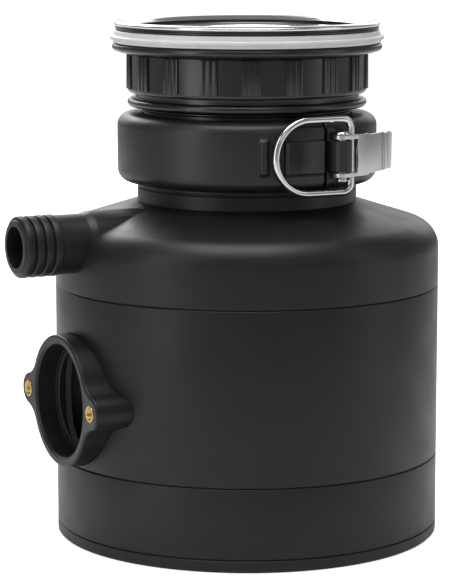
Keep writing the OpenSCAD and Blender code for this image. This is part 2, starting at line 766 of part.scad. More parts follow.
module drain_chamber() {
    floor_hole_r = shaft_r + 0.6;
    color("slategray") difference() {
        union() {
            rotate_extrude() polygon([
                [floor_hole_r, drain_floor_z], [drain_in_r + drain_wall, drain_floor_z],
                [drain_in_r + drain_wall, drain_flange_z], [chamber_flange_r, drain_flange_z],
                [chamber_flange_r, drain_flange_z + drain_flange_h], [drain_in_r, drain_flange_z + drain_flange_h],
                [drain_in_r, drain_floor_top], [seal_r + 3, drain_floor_top], [seal_r + 3, drain_floor_top + 4.5],
                [seal_r, drain_floor_top + 4.5], [seal_r, drain_floor_top], [floor_hole_r, drain_floor_top]
            ]);
            well_box(0, well_z - drain_wall, drain_floor_top);
            for (angle = motor_screw_angles) rotate([0, 0, angle])
                translate([motor_screw_at, 0, drain_floor_top - 0.5]) cylinder(r = 4, h = 4.5);
        }
        well_box(drain_wall, well_z, drain_floor_z);
        intersection() {
            well_box(drain_wall, drain_floor_z - cut, drain_floor_top + cut);
            translate([0, 0, drain_floor_z - 2 * cut]) cylinder(r = drain_in_r, h = 10);
        }
        translate([-well_in_x - 5, 0, outlet_z]) to_port() cylinder(r = duct_r, h = well_r);
        for (i = [0 : 5]) rotate([0, 0, 30 + 60 * i]) translate([chamber_screw_at, 0, drain_flange_z - cut])
            cylinder(r = screw_r, h = drain_flange_h + 2 * cut);
        for (angle = motor_screw_angles) rotate([0, 0, angle])
            translate([motor_screw_at, 0, drain_floor_z - cut]) cylinder(r = screw_r, h = 5 + cut);
    }
}
motor_screw_angles = [0, 100, 260];

module chamber_gasket() {
    color("black") translate([0, 0, chamber_z - wet_gasket_h]) tube(chamber_screw_at - 2.6, chamber_r - 1, wet_gasket_h);
}

module screw(head_r, head_h, length) {
    union() {
        cylinder(r = screw_r, h = length);
        translate([0, 0, length]) cylinder(r = head_r, h = head_h);
    }
}

module chamber_screws() {
    color("silver") for (i = [0 : 5]) rotate([0, 0, 30 + 60 * i])
        translate([chamber_screw_at, 0, drain_flange_z]) screw(3.4, 2.6, chamber_z + chamber_flange_h - drain_flange_z);
}

module sound_liner() {
    liner_z = chamber_z + chamber_flange_h + 4;
    color("gray") translate([0, 0, liner_z])
        tube(shell_in_r - 0.4, chamber_r + chamber_wall + 0.5, barb_z - barb_tube_r - liner_z - 1);
}

// ---- Motor ----

module motor_can() {
    color("gray") translate([0, 0, motor_z]) tube(motor_r, can_in_r, motor_len);
}

module field_magnets() {
    span = 130;
    color("darkslategray") for (start = [90 - span / 2, 270 - span / 2])
        translate([0, 0, core_z - 2]) rotate([0, 0, start]) rotate_extrude(angle = span)
            translate([magnet_r, 0]) square([can_in_r - magnet_r, core_h + 4]);
}

module armature_core() {
    color("silver") translate([0, 0, core_z]) difference() {
        cylinder(r = armature_r, h = core_h);
        translate([0, 0, -cut]) cylinder(r = shaft_r, h = core_h + 2 * cut);
        for (i = [0 : armature_slots - 1]) rotate([0, 0, i * 360 / armature_slots]) {
            translate([winding_at, 0, -cut]) cylinder(r = winding_rod_r + 0.4, h = core_h + 2 * cut);
            translate([winding_at, -0.8, -cut]) cube([armature_r, 1.6, core_h + 2 * cut]);
        }
    }
}

module armature_winding() {
    turn_h = 3;
    color("peru") union() {
        for (i = [0 : armature_slots - 1]) rotate([0, 0, i * 360 / armature_slots])
            translate([winding_at, 0, core_z - turn_h]) cylinder(r = winding_rod_r, h = core_h + 2 * turn_h);
        for (z = [core_z - turn_h, core_z + core_h]) translate([0, 0, z])
            tube(winding_at + winding_rod_r + 0.6, shaft_r + 5, turn_h);
    }
}

module commutator() {
    color("peru") translate([0, 0, commutator_z]) difference() {
        cylinder(r = commutator_r, h = commutator_h);
        translate([0, 0, -cut]) cylinder(r = shaft_r, h = commutator_h + 2 * cut);
        for (i = [0 : armature_slots - 1]) rotate([0, 0, (i + 0.5) * 360 / armature_slots])
            translate([commutator_r - 2, -0.3, -cut]) cube([3, 0.6, commutator_h + 2 * cut]);
    }
}

// Places a shape drawn along +X beside the commutator, once on each side
module each_brush() {
    for (angle = [0, 180])
        rotate([0, 0, angle]) translate([0, 0, commutator_z + commutator_h / 2]) children();
}

module brush_holders() {
    wall = 1.2;
    hollow = brush_w + 2 * slip;
    color("goldenrod") each_brush() difference() {
        intersection() {
            translate([holder_in, -hollow / 2 - wall, -hollow / 2 - wall])
                cube([can_in_r - holder_in, hollow + 2 * wall, hollow + 2 * wall]);
            translate([0, 0, -hollow]) cylinder(r = can_in_r, h = 2 * hollow);
        }
        translate([holder_in - cut, -hollow / 2, -hollow / 2]) cube([holder_out - holder_in + cut, hollow, hollow]);
    }
}

module brushes() {
    color("black") each_brush() translate([brush_at, -brush_w / 2, -brush_w / 2])
        cube([brush_len, brush_w, brush_w]);
}

// A coil spring along +X as one swept tube
module coil_spring(coil_r, wire, length, turns) {
    steps = 14;
    sides = 6;
    rings = turns * steps;
    points = [for (i = [0 : rings], k = [0 : sides - 1])
        let (turn = 360 * i / steps, side = 360 * k / sides, r = coil_r + wire * cos(side))
        [length * i / rings + wire * sin(side), r * cos(turn), r * sin(turn)]];
    walls = [for (i = [0 : rings - 1], k = [0 : sides - 1])
        let (next = (k + 1) % sides)
        [i * sides + k, (i + 1) * sides + k, (i + 1) * sides + next, i * sides + next]];
    ends = [[for (k = [0 : sides - 1]) k], [for (k = [sides - 1 : -1 : 0]) rings * sides + k]];
    polyhedron(points = points, faces = concat(walls, ends), convexity = 8);
}

module brush_springs() {
    wire = 0.4;
    start = brush_at + brush_len + wire + 0.1;
    color("silver") each_brush() translate([start, 0, 0])
        coil_spring(2.2, wire, holder_out - start - wire - 0.1, 5);
}

module motor_top_plate() {
    color("lightgray") difference() {
        union() {
            difference() {
                translate([0, 0, motor_plate_z]) cylinder(r = motor_flange_r, h = motor_plate_h);
                translate([-2 * casing_r - well_in_x + gap, -casing_r, motor_plate_z - cut])
                    cube([2 * casing_r, 2 * casing_r, motor_plate_h + 2 * cut]);
            }
            translate([0, 0, upper_bearing_z]) cylinder(r = bearing_hub_r, h = bearing_h);
        }
        translate([0, 0, upper_bearing_z - cut]) cylinder(r = bearing_r, h = bearing_h + cut);
        cylinder(r = shaft_r + 0.6, h = drain_floor_z + cut);
        for (angle = motor_screw_angles) rotate([0, 0, angle])
            translate([motor_screw_at, 0, motor_plate_z - cut]) cylinder(r = screw_r + slip, h = motor_plate_h + 2 * cut);
    }
}

module motor_bottom_plate() {
    color("lightgray") difference() {
        union() {
            translate([0, 0, motor_floor_z]) cylinder(r = motor_r, h = motor_floor_h);
            translate([0, 0, motor_z]) cylinder(r = bearing_hub_r, h = bearing_h + 0.5);
        }
        translate([0, 0, lower_bearing_z]) cylinder(r = bearing_r, h = bearing_h + cut);
    }
}

module bearing_outer() {
    color("silver") rotate_extrude() difference() {
        translate([race_out_r, 0]) square([bearing_r - race_out_r, bearing_h]);
        translate([ball_at, bearing_h / 2]) circle(r = ball_r + run);
    }
}

module bearing_inner() {
    color("silver") rotate_extrude() difference() {
        translate([shaft_r, 0]) square([race_in_r - shaft_r, bearing_h]);
        translate([ball_at, bearing_h / 2]) circle(r = ball_r + run);
    }
}

module bearing_balls() {
    color("silver") for (i = [0 : ball_count - 1]) rotate([0, 0, i * 360 / ball_count])
        translate([ball_at, 0, bearing_h / 2]) sphere(r = ball_r);
}

module upper_bearing_outer() { translate([0, 0, upper_bearing_z]) bearing_outer(); }

module upper_bearing_inner() { translate([0, 0, upper_bearing_z]) bearing_inner(); }

module upper_bearing_balls() { translate([0, 0, upper_bearing_z]) bearing_balls(); }

module lower_bearing_outer() { translate([0, 0, lower_bearing_z]) bearing_outer(); }

module lower_bearing_inner() { translate([0, 0, lower_bearing_z]) bearing_inner(); }

module lower_bearing_balls() { translate([0, 0, lower_bearing_z]) bearing_balls(); }

module motor_shaft() {
    color("silver") translate([0, 0, lower_bearing_z]) cylinder(r = shaft_r, h = shaft_top_z - lower_bearing_z);
}

module motor_pad() {
    color("black") translate([0, 0, pad_z]) tube(pad_out_r, pad_in_r, pad_h);
}

module motor_screws() {
    color("silver") for (angle = motor_screw_angles) rotate([0, 0, angle])
        translate([motor_screw_at, 0, motor_plate_z + 7]) rotate([180, 0, 0]) screw(3.4, 2.6, 7);
}

module circuit_board() {
    color("green") union() {
        translate([board_x, -board_l / 2, board_z]) cube([board_w, board_l, 1.6]);
        translate([board_x + 5, -10, board_z + 1.6]) cube([12, 12, 7]);
        translate([board_x + 11, 9, board_z + 1.6]) cylinder(r = 4, h = 9);
    }
}

// Places a shape at the reset button's axis
module at_reset() { rotate([0, 0, reset_angle + 45]) translate([reset_at, 0, 0]) children(); }

module overload_protector() {
    color("black") at_reset() difference() {
        union() {
            translate([-7, -9, overload_z]) cube([14, 18, 13]);
            translate([-7, -9, base_floor]) cube([14, 2, 6]);
            translate([-7, 7, base_floor]) cube([14, 2, 6]);
        }
        translate([0, 0, overload_z - cut]) cylinder(r = reset_stem_r + run, h = 10 + cut);
    }
}

module reset_button() {
    head_h = 4;
    color("red") at_reset() translate([0, 0, 0.8]) union() {
        cylinder(r = reset_r, h = head_h);
        cylinder(r = reset_stem_r, h = overload_z + 5);
    }
}

module cord_gland() {
    color("black") translate([0, 0, gland_z]) rotate([-90, 0, 0]) difference() {
        union() {
            difference() {
                translate([0, 0, casing_r - 1]) cylinder(r = gland_r, h = 4);
                rotate([90, 0, 0]) translate([0, 0, -gland_r - cut]) cylinder(r = casing_r, h = 2 * (gland_r + cut));
            }
            translate([-gland_seat / 2, -gland_seat / 2, casing_r - shell_wall - 4])
                cube([gland_seat, gland_seat, shell_wall + 5]);
        }
        cylinder(r = gland_bore_r, h = casing_r + 2 * gland_r);
    }
}

module base_screws() {
    color("silver") for (i = [0 : 3]) rotate([0, 0, 45 + 90 * i])
        translate([base_screw_at, 0, 3 + 13]) rotate([180, 0, 0]) screw(3.8, 2.4, 13);
}

sink_flange();
threaded_sleeve();
flange_gasket();
sink_gasket();
pressure_ring();
mounting_nut();
splash_guard();
mount_cushion();
clamp_body();
clamp_arm();
clamp_hinge_pin();
latch_lever();
latch_pin();
bail_ring();
neck_ring();
upper_shell();
middle_shell();
lower_shell();
base_cap();
discharge_outlet();
outlet_inserts();
grind_chamber();
grind_ring();
turntable();
impeller_1();
impeller_2();
impeller_pins();
turntable_nut();
shaft_seal();
drain_chamber();
chamber_gasket();
chamber_screws();
sound_liner();
motor_can();
field_magnets();
armature_core();
armature_winding();
commutator();
brush_holders();
brushes();
brush_springs();
motor_top_plate();
motor_bottom_plate();
upper_bearing_outer();
upper_bearing_inner();
upper_bearing_balls();
lower_bearing_outer();
lower_bearing_inner();
lower_bearing_balls();
motor_shaft();
motor_pad();
motor_screws();
circuit_board();
overload_protector();
reset_button();
cord_gland();
base_screws();
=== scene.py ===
import json
import math

import bpy
from mathutils import Matrix, Vector


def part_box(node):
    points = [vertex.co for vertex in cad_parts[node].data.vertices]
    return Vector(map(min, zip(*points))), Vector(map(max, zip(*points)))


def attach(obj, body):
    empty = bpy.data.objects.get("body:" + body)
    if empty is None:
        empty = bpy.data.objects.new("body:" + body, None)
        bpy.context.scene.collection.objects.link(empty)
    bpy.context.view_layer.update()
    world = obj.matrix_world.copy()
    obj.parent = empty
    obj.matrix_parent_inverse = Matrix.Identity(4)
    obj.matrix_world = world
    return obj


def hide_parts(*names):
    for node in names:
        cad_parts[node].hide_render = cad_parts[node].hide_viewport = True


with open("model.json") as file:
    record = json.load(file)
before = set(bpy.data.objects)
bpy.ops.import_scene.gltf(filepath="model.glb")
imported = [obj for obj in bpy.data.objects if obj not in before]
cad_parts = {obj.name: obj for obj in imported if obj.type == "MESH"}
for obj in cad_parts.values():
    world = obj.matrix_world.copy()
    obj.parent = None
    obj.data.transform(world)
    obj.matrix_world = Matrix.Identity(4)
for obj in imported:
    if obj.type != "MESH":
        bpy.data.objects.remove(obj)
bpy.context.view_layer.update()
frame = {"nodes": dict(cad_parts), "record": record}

mm = 0.001
scene = bpy.context.scene
portTurn = Matrix.Rotation(math.radians(-90), 4, "Y")     # stands a turned piece along -X, the ports' side


# Places, read from the frame

def base(node):
    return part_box(node)[0].z / mm


def top(node):
    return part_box(node)[1].z / mm


def rim(node):
    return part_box(node)[1].x / mm


# Modelling helpers, in millimetres

def clearSelection():
    bpy.ops.object.select_all(action="DESELECT")


def useOnly(piece):
    clearSelection()
    piece.select_set(True)
    bpy.context.view_layer.objects.active = piece


def roundCorners(outline, steps=5):
    path = []
    for i, corner in enumerate(outline):
        here = Vector(corner[:2])
        rounding = corner[2] if len(corner) > 2 else 0
        if not rounding:
            path.append(here)
            continue
        back = Vector(outline[i - 1][:2]) - here
        ahead = Vector(outline[(i + 1) % len(outline)][:2]) - here
        half = back.angle(ahead) / 2
        shares = [0.49 if len(outline[j % len(outline)]) > 2 else 0.98 for j in (i - 1, i + 1)]
        reach = min(rounding / math.tan(half), shares[0] * back.length, shares[1] * ahead.length)
        radius = reach * math.tan(half)
        centre = here + (back.normalized() + ahead.normalized()).normalized() * radius / math.sin(half)
        start = here + back.normalized() * reach - centre
        end = here + ahead.normalized() * reach - centre
        sweep = start.angle(end) * (1 if start.cross(end) > 0 else -1)
        for k in range(steps + 1):
            path.append(centre + Matrix.Rotation(sweep * k / steps, 2) @ start)
    return path


# Draws a closed wire by extruding one vertex from point to point, and leaves it selected in edit mode
def drawWire(name, spots):
    clearSelection()
    bpy.ops.mesh.primitive_plane_add(size=mm)
    piece = bpy.context.object
    piece.name = name
    bpy.ops.object.mode_set(mode="EDIT")
    bpy.ops.mesh.select_mode(type="VERT")
    bpy.ops.mesh.select_all(action="SELECT")
    bpy.ops.mesh.merge(type="CENTER")
    spots = [Vector(s) * mm for s in spots]
    bpy.ops.transform.translate(value=spots[0])
    for a, b in zip(spots, spots[1:] + spots[:1]):
        bpy.ops.mesh.extrude_region_move(TRANSFORM_OT_translate={"value": b - a})
    bpy.ops.mesh.select_all(action="SELECT")
    bpy.ops.mesh.remove_doubles(threshold=1e-7)
    return piece


def closeUp(piece, smoothAngle=35):
    bpy.ops.mesh.select_all(action="SELECT")
    bpy.ops.mesh.remove_doubles(threshold=2e-6)
    bpy.ops.mesh.delete_loose()
    bpy.ops.mesh.select_all(action="SELECT")
    bpy.ops.mesh.normals_make_consistent(inside=False)
    bpy.ops.object.mode_set(mode="OBJECT")
    useOnly(piece)
    bpy.ops.object.shade_smooth_by_angle(angle=math.radians(smoothAngle))
    return piece


def closeEdges(piece, smoothAngle=35):
    useOnly(piece)
    bpy.ops.object.mode_set(mode="EDIT")
    return closeUp(piece, smoothAngle)


# Turns an outline of (radius, height, rounding) points about the body's axis
def turned(name, outline, segments=180, steps=5, start=0, sweep=360, smoothAngle=35):
    heading = math.radians(start)
    path = roundCorners(outline, steps)
    piece = drawWire(name, [(p.x * math.cos(heading), p.x * math.sin(heading), p.y) for p in path])
    if sweep < 360:
        bpy.ops.mesh.edge_face_add()
    bpy.ops.mesh.spin(steps=segments, angle=math.radians(sweep), center=(0, 0, 0), axis=(0, 0, -1))
    return closeUp(piece, smoothAngle)


# Extrudes a flat outline of (x, y, rounding) points upwards from a height
def raised(name, outline, low, high, steps=5, smoothAngle=35):
    piece = drawWire(name, [(p.x, p.y, low) for p in roundCorners(outline, steps)])
    bpy.ops.mesh.edge_face_add()
    bpy.ops.mesh.extrude_region_move(TRANSFORM_OT_translate={"value": (0, 0, (high - low) * mm)})
    return closeUp(piece, smoothAngle)


def place(piece, turn=Matrix(), move=(0, 0, 0)):
    piece.matrix_world = Matrix.Translation(Vector(move) * mm) @ turn
    useOnly(piece)
    bpy.ops.object.transform_apply(location=True, rotation=True, scale=True)
    return piece


def copied(piece, name):
    useOnly(piece)
    bpy.ops.object.duplicate()
    twin = bpy.context.object
    twin.name = name
    return twin


def joined(pieces, name):
    clearSelection()
    for p in pieces:
        p.select_set(True)
    bpy.context.view_layer.objects.active = pieces[0]
    bpy.ops.object.join()
    pieces[0].name = name
    return pieces[0]


def combine(piece, tool, operation):
    useOnly(piece)
    cut = piece.modifiers.new(operation.lower(), "BOOLEAN")
    cut.operation = operation
    cut.object = tool
    cut.solver = "EXACT"
    bpy.ops.object.modifier_apply(modifier=cut.name)
    bpy.data.objects.remove(tool)
    return piece


def softEdges(piece, width, segments=2, limit=40):
    useOnly(piece)
    soft = piece.modifiers.new("soft edges", "BEVEL")
    soft.width = width * mm
    soft.segments = segments
    soft.limit_method = "ANGLE"
    soft.angle_limit = math.radians(limit)
    soft.harden_normals = False
    bpy.ops.object.modifier_apply(modifier=soft.name)
    bpy.ops.object.shade_smooth_by_angle(angle=math.radians(35))
    return piece


def settle(piece, body, slot, finish, *replaced):
    piece.data.materials.clear()
    piece.data.materials.append(finish)
    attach(piece, body)
    if replaced:
        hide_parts(*replaced)
    return piece


def around(angle, rho, z=0):
    a = math.radians(angle)
    return Vector((rho * math.sin(a), -rho * math.cos(a), z))


def facing(angle):
    return Matrix.Rotation(math.radians(angle), 4, "Z")


# Finishes

def newFinish(name):
    finish = bpy.data.materials.new(name)
    finish.use_nodes = True
    tree = finish.node_tree
    shader = tree.nodes["Principled BSDF"]
    place = tree.nodes.new("ShaderNodeTexCoord")
    return finish, tree, shader, place.outputs["Object"]


def addNoise(tree, coords, scale, detail=4, stretch=None):
    if stretch:
        mapping = tree.nodes.new("ShaderNodeMapping")
        mapping.inputs["Scale"].default_value = stretch
        tree.links.new(coords, mapping.inputs["Vector"])
        coords = mapping.outputs["Vector"]
    noise = tree.nodes.new("ShaderNodeTexNoise")
    noise.inputs["Scale"].default_value = scale
    noise.inputs["Detail"].default_value = detail
    tree.links.new(coords, noise.inputs["Vector"])
    return noise.outputs["Fac"]


# Spreads a 0 to 1 value over a range of colours or numbers
def spread(tree, value, low, high, start=0.3, end=0.7):
    ramp = tree.nodes.new("ShaderNodeValToRGB")
    ramp.color_ramp.elements[0].position = start
    ramp.color_ramp.elements[1].position = end
    ramp.color_ramp.elements[0].color = (*low, 1)
    ramp.color_ramp.elements[1].color = (*high, 1)
    tree.links.new(value, ramp.inputs["Fac"])
    return ramp.outputs["Color"]


def addBump(tree, shader, value, strength, distance):
    bump = tree.nodes.new("ShaderNodeBump")
    bump.inputs["Strength"].default_value = strength
    bump.inputs["Distance"].default_value = distance * mm
    tree.links.new(value, bump.inputs["Height"])
    tree.links.new(bump.outputs["Normal"], shader.inputs["Normal"])


# Moulded plastic: a fine spark-eroded grain, with broad faint changes of shade and gloss
def mouldedPlastic(name, colour, roughness, grain=0.12, grainScale=1400, change=0.12, gloss=0.5):
    finish, tree, shader, coords = newFinish(name)
    broad = addNoise(tree, coords, 22, 3)
    low = [c * (1 - change) for c in colour]
    high = [c * (1 + change) for c in colour]
    tree.links.new(spread(tree, broad, low, high), shader.inputs["Base Color"])
    cloud = addNoise(tree, coords, 60, 5)
    rough = spread(tree, cloud, [roughness - 0.04] * 3, [roughness + 0.05] * 3)
    tree.links.new(rough, shader.inputs["Roughness"])
    addBump(tree, shader, addNoise(tree, coords, grainScale, 2), grain, 0.08)
    shader.inputs["Specular IOR Level"].default_value = gloss
    return finish


# Steel with fine drawn lines that run around the body, and faint smears in its gloss
def turnedSteel(name, colour, roughness, line=0.05, stretch=(1, 1, 60)):
    finish, tree, shader, coords = newFinish(name)
    lines = addNoise(tree, coords, 60, 6, stretch)
    low = [c * 0.93 for c in colour]
    tree.links.new(spread(tree, lines, low, colour), shader.inputs["Base Color"])
    smear = addNoise(tree, coords, 45, 4)
    rough = spread(tree, smear, [roughness * 0.8] * 3, [roughness * 1.3] * 3)
    tree.links.new(rough, shader.inputs["Roughness"])
    addBump(tree, shader, lines, line, 0.05)
    shader.inputs["Metallic"].default_value = 1
    return finish


def softRubber(name, colour, roughness=0.6, bloom=0.15):
    finish, tree, shader, coords = newFinish(name)
    dust = addNoise(tree, coords, 90, 6)
    low = [c * (1 - bloom) for c in colour]
    high = [c * (1 + bloom) for c in colour]
    tree.links.new(spread(tree, dust, low, high, 0.35, 0.7), shader.inputs["Base Color"])
    rough = spread(tree, dust, [roughness - 0.05] * 3, [roughness + 0.08] * 3)
    tree.links.new(rough, shader.inputs["Roughness"])
    addBump(tree, shader, addNoise(tree, coords, 900, 3), 0.1, 0.1)
    return finish


def openFoam(name, colour):
    finish, tree, shader, coords = newFinish(name)
    cells = tree.nodes.new("ShaderNodeTexVoronoi")
    cells.inputs["Scale"].default_value = 700
    tree.links.new(coords, cells.inputs["Vector"])
    shade = spread(tree, cells.outputs["Distance"], colour, [c * 0.4 for c in colour], 0.1, 0.8)
    tree.links.new(shade, shader.inputs["Base Color"])
    addBump(tree, shader, cells.outputs["Distance"], 0.5, 0.6)
    shader.inputs["Roughness"].default_value = 0.9
    return finish


finishes = {
    "casing_plastic": mouldedPlastic("casing plastic", (0.0065, 0.0066, 0.0082), 0.42, gloss=0.26),
    "clamp_plastic": mouldedPlastic("clamp plastic", (0.0065, 0.0065, 0.0078), 0.42, change=0.3, gloss=0.4),
    "nut_plastic": mouldedPlastic("nut plastic", (0.004, 0.004, 0.004), 0.3, grain=0.05, gloss=0.48),
    "black_rubber": softRubber("black rubber", (0.006, 0.006, 0.006), 0.5),
    "white_rubber": softRubber("white rubber", (0.47, 0.47, 0.465), 0.45, bloom=0.06),
    "polished_steel": turnedSteel("polished steel", (0.56, 0.56, 0.555), 0.13, line=0.02),
    "satin_steel": turnedSteel("satin steel", (0.52, 0.52, 0.53), 0.32, line=0.06, stretch=(40, 40, 1)),
    "inner_steel": turnedSteel("machined steel", (0.55, 0.55, 0.56), 0.3),
    "insert_brass": turnedSteel("brass", (0.52, 0.36, 0.13), 0.32, line=0.04),
    "copper": turnedSteel("copper", (0.80, 0.38, 0.20), 0.35, line=0.2),
    "carbon": mouldedPlastic("carbon", (0.02, 0.02, 0.02), 0.55, grain=0.3),
    "magnet_ferrite": mouldedPlastic("ferrite", (0.05, 0.05, 0.055), 0.6, grain=0.3),
    "motor_zinc": turnedSteel("galvanised steel", (0.50, 0.51, 0.53), 0.42, line=0.1),
    "chamber_plastic": mouldedPlastic("chamber plastic", (0.05, 0.05, 0.055), 0.45),
    "liner_foam": openFoam("liner foam", (0.12, 0.12, 0.12)),
    "board_green": mouldedPlastic("circuit board", (0.01, 0.09, 0.03), 0.35, change=0.25),
    "trim_plastic": mouldedPlastic("trim plastic", (0.015, 0.015, 0.015), 0.35),
    "reset_red": mouldedPlastic("reset red", (0.5, 0.012, 0.01), 0.3, change=0.06),
}

# Every CAD node takes its slot's finish; the pieces below then stand for the nodes that show
for entry in frame["record"]["subparts"]:
    node = frame["nodes"][entry["node"]]
    node.data.materials.clear()
    node.data.materials.append(finishes[entry["material_slot"]])
print("finishes ready")


# The sink mount

flangeSize = {"crown": 9.5, "dish": 5.2, "sheet": 1.0, "throat": 41.9}


def makeSinkFlange():
    low = base("flange_gasket")
    under = top("flange_gasket")
    high = top("sink_flange")
    outer = rim("sink_flange")
    throat = flangeSize["throat"]
    sheet = flangeSize["sheet"]
    shoulder = throat + flangeSize["crown"]
    bottom = base("sink_flange")
    outline = [
        (throat, bottom), (throat, high - 14, 1), (throat + 1.4, high - flangeSize["dish"], 5),
        (shoulder, high - 0.5, 9), (outer - 2.2, high, 4), (outer, high - 0.9, 0.9),
        (outer - 0.4, under, 0.5),
        (shoulder, under), (throat + sheet + 2.6, under - 1.6, 2), (throat + sheet, low - 8, 2),
        (throat + sheet, bottom),
    ]
    piece = turned("sinkFlange", outline, segments=240, steps=7)
    return settle(piece, "root", "polished_steel", finishes["polished_steel"], "sink_flange")


def makeFlangeGasket():
    low, high, outer = base("flange_gasket"), top("flange_gasket"), rim("flange_gasket")
    middle = (low + high) / 2
    inner = outer - 10
    outline = [
        (inner, low), (outer, low, 0.35), (outer, middle - 0.12, 0.2), (outer - 0.35, middle),
        (outer, middle + 0.12, 0.2), (outer, high, 0.35), (inner, high),
    ]
    piece = turned("flangeGasket", outline, segments=200, steps=3)
    return settle(piece, "root", "black_rubber", finishes["nut_plastic"], "flange_gasket")


def makeSinkGasket():
    low, high, outer = base("sink_gasket"), top("sink_gasket"), rim("sink_gasket")
    inner = outer - 12
    outline = [
        (inner, low), (outer - 1.3, low, 0.3), (outer - 0.9, low + 1.2, 0.3), (outer, low + 1.5, 0.3),
        (outer, low + 2.7, 0.4), (outer - 1.5, low + 3.1, 0.4), (outer - 1.9, high - 0.5, 0.5),
        (outer - 2.6, high, 0.3), (inner, high),
    ]
    piece = turned("sinkGasket", outline, segments=200, steps=4)
    return settle(piece, "sink_stack", "white_rubber", finishes["white_rubber"], "sink_gasket")


def makePressureRing():
    low, high, outer = base("pressure_ring"), top("pressure_ring"), rim("pressure_ring")
    inner = outer - 11.4
    outline = [
        (inner, low), (outer - 3, low, 1.2), (outer, low + 1.0, 1.4), (outer, high - 0.8, 1.2),
        (outer - 1.6, high - 0.1, 0.8), (inner, high - 0.1),
    ]
    piece = turned("pressureRing", outline, segments=200, steps=5)
    return settle(piece, "sink_stack", "nut_plastic", finishes["nut_plastic"], "pressure_ring")


nutSize = {
    "grips": 18, "firstGrip": -25.8, "bead": 3.5, "beadInset": 0.8, "neck": 48.0, "gripOut": 0.9,
    "bore": 46.3,
}


# The nut is turned in one-degree steps, and the columns of faces at each grip are then drawn out
def makeMountingNut():
    s = nutSize
    low, high, outer = base("mounting_nut"), top("mounting_nut"), rim("mounting_nut")
    panel = outer - s["gripOut"]
    foot = low + s["bead"] + 2.3
    bandLow, bandHigh = foot + 2.0, high - 0.9
    beadOut = outer - s["beadInset"]
    outline = [
        (s["bore"], low), (beadOut, low, 1.7), (beadOut, low + s["bead"], 1.7),
        (s["neck"], low + s["bead"], 0.3),
        (s["neck"], foot, 0.3), (panel, foot, 1.8), (panel, bandLow), (panel, bandHigh),
        (panel, high - 0.3, 0.2),
        (panel - 1, high), (s["bore"], high),
    ]
    piece = turned("mountingNut", outline, segments=360, steps=4)
    spacing = 360 / s["grips"]

    # The whole grip is drawn out first, and then its ridges, which leaves two grooves between three ridges
    for step, grooves in ((0.55, False), (0.42, True)):
        bpy.ops.object.mode_set(mode="EDIT")
        bpy.ops.mesh.select_mode(type="FACE")
        bpy.ops.mesh.select_all(action="DESELECT")
        bpy.ops.object.mode_set(mode="OBJECT")
        for face in piece.data.polygons:
            spot = face.center / mm
            angle = math.degrees(math.atan2(spot.x, -spot.y)) - s["firstGrip"]
            off = (angle + spacing / 2) % spacing - spacing / 2
            onWall = bandLow < spot.z < bandHigh and math.hypot(spot.x, spot.y) > panel - 0.4
            face.select = onWall and abs(off) < 4 and not (grooves and 0.5 < abs(off) < 2.5)
        bpy.ops.object.mode_set(mode="EDIT")
        bpy.ops.mesh.extrude_region_shrink_fatten(
            TRANSFORM_OT_shrink_fatten={"value": s["gripOut"] * step * mm})
        bpy.ops.mesh.select_mode(type="VERT")
        bpy.ops.object.mode_set(mode="OBJECT")
    softEdges(piece, 0.22, 2, 50)
    return settle(piece, "nut", "nut_plastic", finishes["nut_plastic"], "mounting_nut")


sleeveSize = {"outer": 44.8, "inner": 42.9, "lip": 41.9, "pitch": 3.0, "ridge": 0.9}


def makeThreadedSleeve():
    s = sleeveSize
    low, high, flange = base("threaded_sleeve"), top("threaded_sleeve"), rim("threaded_sleeve")
    shelf = low + 4
    outline = [(s["lip"], low), (flange, low, 0.4), (flange, shelf, 0.4), (s["outer"], shelf, 0.3)]
    z = top("clamp_body") + 2
    while z < high - 2:
        crest = s["outer"] + s["ridge"]
        outline += [(s["outer"], z - s["ridge"]), (crest, z - 0.15), (crest, z + 0.15)]
        outline.append((s["outer"], z + s["ridge"]))
        z += s["pitch"]
    outline += [(s["outer"], high), (s["inner"], high), (s["inner"], shelf), (s["lip"], shelf)]
    piece = turned("threadedSleeve", outline, segments=200, steps=3)
    return settle(piece, "root", "nut_plastic", finishes["nut_plastic"], "threaded_sleeve")


guardSize = {"hole": 11.0, "flaps": 8, "slit": 0.5, "throat": 41.0, "dip": 8.0}


# The rubber guard: a rim held in the joint, and a dish of flaps that hang into the throat
def makeSplashGuard():
    s = guardSize
    low, high, outer = base("splash_guard"), top("splash_guard"), rim("splash_guard")
    rimLow = high - 4
    outline = [
        (s["throat"], rimLow), (outer, rimLow, 0.4), (outer, high, 0.4), (s["throat"] - 1, high, 0.6),
        (s["throat"] - 3, high - 2, 2), (s["throat"] - 6, rimLow - 5, 4), (s["hole"], rimLow - s["dip"], 0.6),
        (s["hole"], low, 0.6), (s["throat"] - 5, rimLow - 7.5, 4), (s["throat"] - 1.5, rimLow - 3, 2),
    ]
    piece = turned("splashGuard", outline, segments=160, steps=5)
    for i in range(s["flaps"]):
        bpy.ops.mesh.primitive_cube_add(size=1)
        slit = bpy.context.object
        slit.scale = Vector((s["throat"] - 7, s["slit"], 24)) * mm
        slit.location = Vector(((s["throat"] - 7) / 2, 0, rimLow - 5)) * mm
        bpy.ops.object.transform_apply(location=True, rotation=False, scale=True)
        place(slit, facing(i * 360 / s["flaps"]))
        combine(piece, slit, "DIFFERENCE")
    softEdges(piece, 0.15, 1, 50)
    return settle(piece, "root", "black_rubber", finishes["black_rubber"], "splash_guard")


makeSinkFlange()
makeFlangeGasket()
makeSinkGasket()
makePressureRing()
makeMountingNut()
makeThreadedSleeve()
makeSplashGuard()
print("sink mount made")


# The clamp, its latch and its hinge

